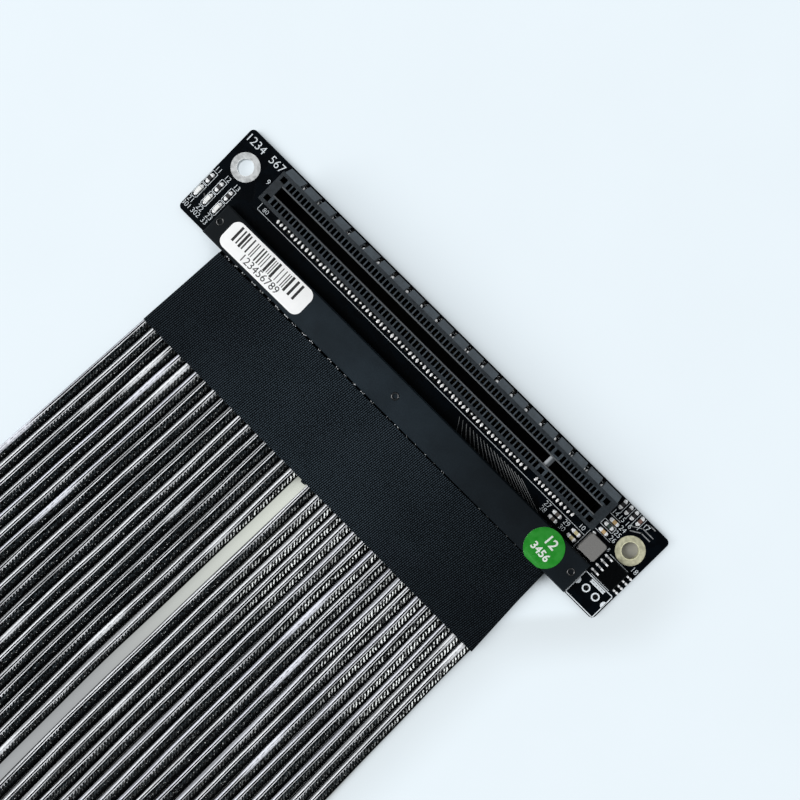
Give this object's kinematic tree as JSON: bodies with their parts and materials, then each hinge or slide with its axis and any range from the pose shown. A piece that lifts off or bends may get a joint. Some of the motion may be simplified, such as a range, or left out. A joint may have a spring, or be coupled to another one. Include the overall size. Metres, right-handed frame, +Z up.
{
  "type": "pcie extension cable",
  "caption": "Flat extension cable with a keyed card slot on a small board at one end and a matching card-edge plug at the other, joined by a row of flat shielded cables.",
  "frame": {"origin": "on the resting surface, under the middle of the socket board", "axes": "+X along the card slot towards the short contact group, +Y from the cables towards the slot, +Z up out of the slot"},
  "size_m": [0.116, 0.2527, 0.0128],
  "materials": {
    "board_black": "black solder mask, glossy",
    "slot_plastic": "dark grey moulded plastic, fine matt grain",
    "contact_metal": "gold-plated spring metal",
    "led_white": "clear and white diode body",
    "chip_black": "black moulded chip",
    "inductor_grey": "grey pressed ferrite",
    "tin": "tinned metal and solder",
    "ceramic_tan": "tan fired ceramic",
    "strip_plastic": "black moulded plastic, satin",
    "paper_white": "white coated paper",
    "paper_green": "green coated paper",
    "woven_tape": "black woven cloth tape",
    "cable_jacket": "clear jacket over dark braid, glossy"
  },
  "bodies": {
    "root": {"barcode_label": "paper_white", "cable_01": "cable_jacket", "cable_02": "cable_jacket", "cable_03": "cable_jacket", "cable_04": "cable_jacket", "cable_05": "cable_jacket", "cable_06": "cable_jacket", "cable_07": "cable_jacket", "cable_08": "cable_jacket", "cable_09": "cable_jacket", "cable_10": "cable_jacket", "cable_11": "cable_jacket", "cable_12": "cable_jacket", "cable_13": "cable_jacket", "cable_14": "cable_jacket", "cable_15": "cable_jacket", "cable_16": "cable_jacket", "cable_17": "cable_jacket", "cable_18": "cable_jacket", "cable_19": "cable_jacket", "cable_20": "cable_jacket", "cable_21": "cable_jacket", "cable_22": "cable_jacket", "cable_23": "cable_jacket", "cable_24": "cable_jacket", "cable_25": "cable_jacket", "cable_26": "cable_jacket", "cable_27": "cable_jacket", "cable_28": "cable_jacket", "cable_29": "cable_jacket", "cable_30": "cable_jacket", "cable_31": "cable_jacket", "cable_32": "cable_jacket", "cable_33": "cable_jacket", "cable_34": "cable_jacket", "cable_35": "cable_jacket", "cable_36": "cable_jacket", "chip_capacitors": "ceramic_tan", "chip_resistors": "chip_black", "led_resistors": "chip_black", "plug_board": "board_black", "plug_cover": "strip_plastic", "plug_tape": "woven_tape", "plug_wire_tips": "tin", "power_inductor": "inductor_grey", "regulator_ic": "chip_black", "regulator_leads": "tin", "round_sticker": "paper_green", "slot_contacts_a": "contact_metal", "slot_contacts_b": "contact_metal", "slot_housing": "slot_plastic", "socket_board": "board_black", "socket_cover": "strip_plastic", "socket_tape": "woven_tape", "socket_wire_tips": "tin", "status_leds": "led_white"}
  },
  "joints": []
}
